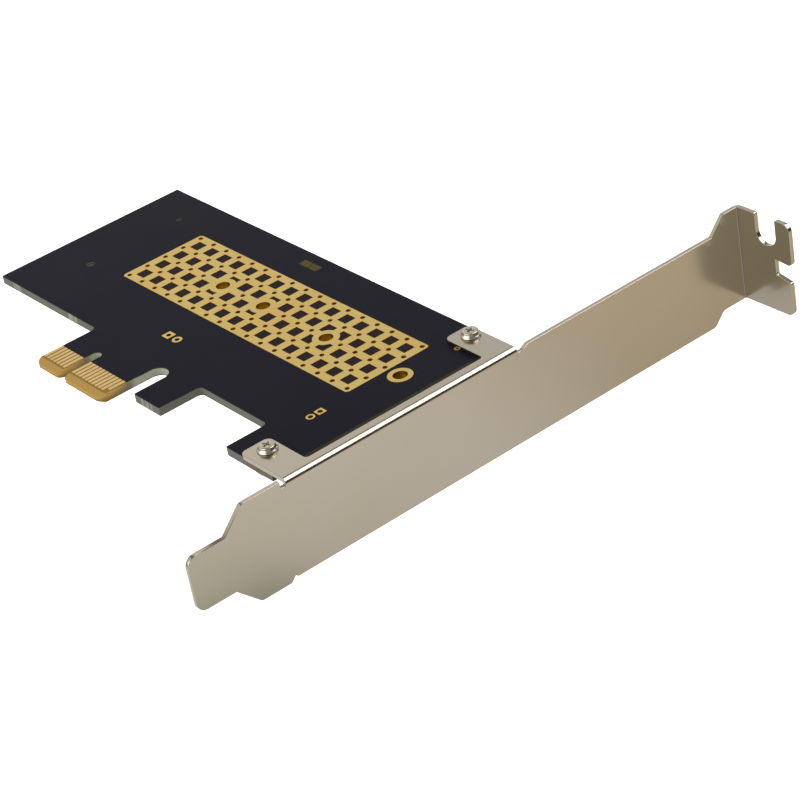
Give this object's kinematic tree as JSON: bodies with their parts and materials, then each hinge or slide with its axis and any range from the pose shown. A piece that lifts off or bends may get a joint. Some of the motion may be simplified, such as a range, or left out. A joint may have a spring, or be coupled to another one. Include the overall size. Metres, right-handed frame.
{
  "type": "nvme adapter card",
  "caption": "Circuit board with a keyed card edge, a socket for a thin drive, a gold heat pad full of vias and a folded steel bracket that screws to a computer case.",
  "frame": {"origin": "centre of the key notch on the card edge's insertion edge, at half the board's thickness", "axes": "+X out of the case through the bracket, +Y away from the slot towards the bracket's ear, +Z along the solder side's normal, so that the drive is on the -Z side"},
  "size_m": [0.111, 0.12, 0.021],
  "materials": {
    "laminate": "dark blue-black solder mask, slightly glossy, over glass-fibre laminate",
    "gold_field": "thin gold over copper, satin",
    "gold_contact": "hard gold plating, smooth",
    "tinned_land": "thin gold over copper, satin",
    "bracket_steel": "nickel-plated sheet steel, smooth, warm grey",
    "screw_steel": "bright nickel plating",
    "socket_plastic": "black moulded plastic",
    "contact_metal": "gold-flashed copper alloy",
    "tinned_metal": "tin-plated",
    "bulk_case": "dark moulded case",
    "ceramic": "fired ceramic, tan",
    "resistor_glaze": "black glaze",
    "ferrite": "dark grey ferrite",
    "led_body": "translucent resin"
  },
  "bodies": {
    "root": {"circuit_board": "laminate", "heat_pad_solder_side": "gold_field", "heat_pad_component_side": "gold_field", "edge_contacts_solder_side": "gold_contact", "edge_contacts_component_side": "gold_contact", "header_pads_centre": "tinned_land", "header_pads_beside_bracket": "tinned_land", "earth_via": "tinned_land", "bracket": "bracket_steel", "bracket_screws": "screw_steel", "bracket_nuts": "screw_steel", "drive_socket_housing": "socket_plastic", "socket_upper_contacts": "contact_metal", "socket_lower_contacts": "contact_metal", "socket_hold_downs": "tinned_metal", "bulk_capacitors": "bulk_case", "ceramic_capacitors": "ceramic", "chip_resistors": "resistor_glaze", "ferrite_bead": "ferrite", "status_led": "led_body"}
  },
  "joints": []
}
